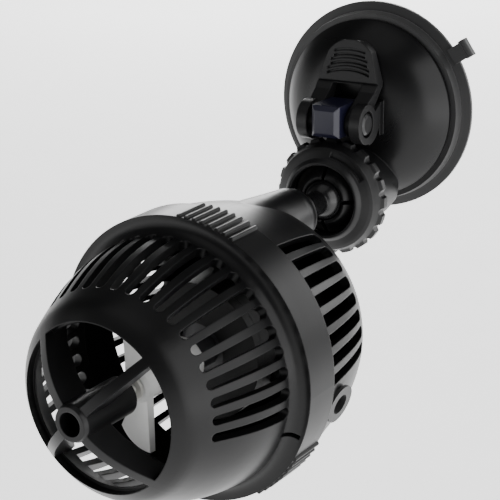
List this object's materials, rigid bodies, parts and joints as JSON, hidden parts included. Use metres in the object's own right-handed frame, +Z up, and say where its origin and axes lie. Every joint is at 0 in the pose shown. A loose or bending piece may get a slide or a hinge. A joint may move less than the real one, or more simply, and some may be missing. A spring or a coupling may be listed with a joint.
{
  "type": "wave maker pump",
  "caption": "Aquarium wave maker pump: slotted round pump head with a caged propeller on a ball joint, held to the glass by a lever suction cup.",
  "frame": {"origin": "centre of the suction cup sealing rim, on the glass", "axes": "+Y into the glass, -Y out into the tank towards the nose, +Z up towards the lever pad, +X right seen from the front"},
  "size_m": [0.073, 0.1349, 0.1099],
  "materials": {
    "cup_rubber": "smooth moulded rubber",
    "cover_plastic": "glossy moulded",
    "socket_plastic": "moulded",
    "stud_plastic": "moulded, slightly blue black",
    "pin_plastic": "moulded",
    "lever_plastic": "satin moulded",
    "washer_plastic": "natural",
    "nut_plastic": "satin moulded",
    "pad_rubber": "soft",
    "ball_plastic": "semi gloss",
    "steel": "stainless",
    "housing_plastic": "semi gloss moulded",
    "cage_plastic": "semi gloss moulded",
    "can_plastic": "moulded",
    "seal_rubber": "soft",
    "laminations": "stacked laminations",
    "bobbin_plastic": "natural",
    "copper": "enamelled wire",
    "ceramic": "polished ceramic",
    "rotor_plastic": "moulded",
    "magnet": "sintered ferrite",
    "impeller_plastic": "light grey moulded"
  },
  "bodies": {
    "mount": {"suction_cup": "cup_rubber", "cup_cover": "cover_plastic", "ball_collet": "socket_plastic"},
    "stud": {"cam_stud": "stud_plastic", "cup_core": "cup_rubber", "lever_pin": "pin_plastic", "pin_clip": "pin_plastic"},
    "lever": {"lever": "lever_plastic"},
    "clamp_ring": {"slip_washer": "washer_plastic"},
    "nut": {"clamp_nut": "nut_plastic"},
    "swivel_pad": {"seat_pad": "pad_rubber"},
    "ball": {"ball_stud": "ball_plastic", "stem_screw": "steel", "stem_washer": "steel"},
    "pump": {"rear_housing": "housing_plastic", "motor_can": "can_plastic", "well_lid": "can_plastic", "can_seal": "seal_rubber", "stator_core": "laminations", "bobbin_left": "bobbin_plastic", "bobbin_right": "bobbin_plastic", "coil_left": "copper", "coil_right": "copper", "rear_bush": "seal_rubber", "rotor_shaft": "ceramic", "rear_washer": "washer_plastic", "cable_grommet": "seal_rubber", "can_screw_1": "steel", "can_screw_2": "steel", "can_screw_3": "steel"},
    "cage": {"front_cage": "cage_plastic", "front_bush": "seal_rubber"},
    "rotor": {"rotor_sleeve": "rotor_plastic", "rotor_magnet": "magnet"},
    "impeller": {"impeller": "impeller_plastic", "front_washer": "washer_plastic"}
  },
  "joints": [
    {"name": "stud_lift", "type": "slide", "parent": "mount", "child": "stud", "axis": [0, 1, 0], "range_m": [0, 0.002]},
    {"name": "lever_flip", "type": "hinge", "parent": "stud", "child": "lever", "pos_m": [0, -0.0245, 0], "axis": [1, 0, 0], "range_deg": [0, 80]},
    {"name": "nut_travel", "type": "slide", "parent": "mount", "child": "clamp_ring", "axis": [0, -1, 0], "range_m": [0, 0.001]},
    {"name": "nut_turn", "type": "hinge", "parent": "clamp_ring", "child": "nut", "pos_m": [0, -0.0299, -0.0198], "axis": [0, -1, 0], "range_deg": [0, 120]},
    {"name": "swivel_pan", "type": "hinge", "parent": "mount", "child": "swivel_pad", "pos_m": [0, -0.0299, -0.0198], "axis": [0, 0, 1], "range_deg": [-15.9, 24.1]},
    {"name": "swivel_tilt", "type": "hinge", "parent": "swivel_pad", "child": "ball", "pos_m": [0, -0.0299, -0.0198], "axis": [0.9974, -0.0715, 0], "range_deg": [-22.1, 17.9]},
    {"name": "swivel_roll", "type": "hinge", "parent": "ball", "child": "pump", "pos_m": [0, -0.0299, -0.0198], "axis": [0.0714, 0.9968, 0.0366], "range_deg": [-33.3, 26.7]},
    {"name": "cage_twist", "type": "hinge", "parent": "pump", "child": "cage", "pos_m": [-0.00588, -0.09308, -0.04543], "axis": [0.0714, 0.9968, 0.0366], "range_deg": [0, 16]},
    {"name": "rotor_spin", "type": "hinge", "parent": "pump", "child": "rotor", "pos_m": [-0.00445, -0.07315, -0.0447], "axis": [-0.0714, -0.9968, -0.0366], "continuous": true},
    {"name": "impeller_play", "type": "hinge", "parent": "rotor", "child": "impeller", "pos_m": [-0.00645, -0.10106, -0.04573], "axis": [-0.0714, -0.9968, -0.0366], "range_deg": [-115, 115]}
  ],
  "couplings": [
    {"joint": "stud_lift", "follows": "lever_flip", "m_per_rad": 0.0014324},
    {"joint": "nut_travel", "follows": "nut_turn", "m_per_rad": 0.00047746}
  ]
}
